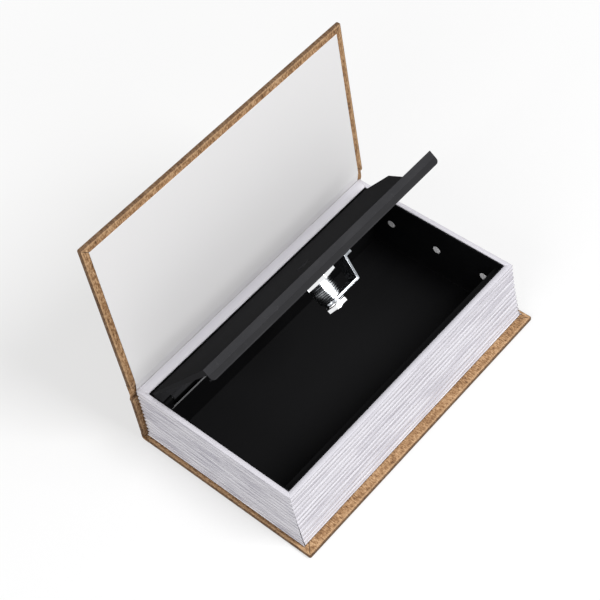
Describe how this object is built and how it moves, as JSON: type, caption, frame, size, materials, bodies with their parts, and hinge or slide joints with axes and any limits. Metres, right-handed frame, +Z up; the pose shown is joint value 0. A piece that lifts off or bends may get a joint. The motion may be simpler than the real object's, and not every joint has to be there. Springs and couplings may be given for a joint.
{
  "type": "book diversion safe",
  "caption": "Book-shaped safe, open: paper-bound covers, ribbed page block, black steel tray with a hinged lid and a cam lock.",
  "frame": {"origin": "centre of the 153 by 240 mm book footprint, on the underside of the back cover", "axes": "+X from the spine to the fore-edge, +Y from the near end to the far end, +Z up out of the tray"},
  "size_m": [0.1576, 0.24, 0.1992],
  "materials": {
    "wrap_paper": "matt printed kraft paper",
    "grey_board": "matt grey board",
    "endpaper": "smooth matt paper",
    "page_plastic": "ribbed matt plastic",
    "tray_paint": "fine-textured black powder coat",
    "lid_paint": "fine-textured black powder coat",
    "bare_steel": "drawn wire",
    "lock_chrome": "bright plated",
    "wafer_brass": "stamped brass"
  },
  "bodies": {
    "case": {"back_cover_board": "grey_board", "back_cover_wrap": "wrap_paper", "back_endpaper": "endpaper", "back_joint_wrap": "wrap_paper", "page_strip_near": "page_plastic", "page_strip_fore_edge": "page_plastic", "page_strip_far": "page_plastic", "page_strip_spine": "page_plastic", "tray": "tray_paint", "tray_peg_near_1": "page_plastic", "tray_peg_near_2": "page_plastic", "tray_peg_near_3": "page_plastic", "tray_peg_far_1": "page_plastic", "tray_peg_far_2": "page_plastic", "tray_peg_far_3": "page_plastic", "hinge_rail": "tray_paint", "hinge_rod": "bare_steel", "strike_bracket": "tray_paint"},
    "spine": {"spine_board": "grey_board", "spine_wrap": "wrap_paper", "front_joint_wrap": "wrap_paper", "front_joint_endpaper": "endpaper"},
    "front_cover": {"front_cover_board": "grey_board", "front_cover_wrap": "wrap_paper", "front_endpaper": "endpaper"},
    "lid": {"lid": "lid_paint", "lock_bracket": "lid_paint", "lock_body": "lock_chrome", "lock_nut": "lock_chrome"},
    "cam": {"lock_plug": "lock_chrome", "lock_wafer_1": "wafer_brass", "lock_wafer_2": "wafer_brass", "lock_wafer_3": "wafer_brass", "lock_wafer_4": "wafer_brass", "lock_wafer_5": "wafer_brass", "cam": "lock_chrome", "cam_washer": "lock_chrome", "cam_nut": "lock_chrome"}
  },
  "joints": [
    {"name": "spine_joint", "type": "hinge", "parent": "case", "child": "spine", "pos_m": [-0.0755, 0, 0.001], "axis": [0, -1, 0], "range_deg": [0, 88], "deforming": ["back_joint_wrap"]},
    {"name": "cover_joint", "type": "hinge", "parent": "spine", "child": "front_cover", "pos_m": [-0.0698, 0, 0.0539], "axis": [0, -1, 0], "range_deg": [-92.4, 0], "deforming": ["front_joint_wrap", "front_joint_endpaper"]},
    {"name": "lid_joint", "type": "hinge", "parent": "case", "child": "lid", "pos_m": [-0.0583, 0, 0.0416], "axis": [0, -1, 0], "range_deg": [-51.7, 0]},
    {"name": "cam_joint", "type": "hinge", "parent": "lid", "child": "cam", "pos_m": [-0.00959, 0, 0.10328], "axis": [-0.7848, 0, 0.6198], "range_deg": [-90, 0]}
  ],
  "couplings": [
    {"joint": "cover_joint", "follows": "lid_joint", "ratio": 1.787}
  ]
}
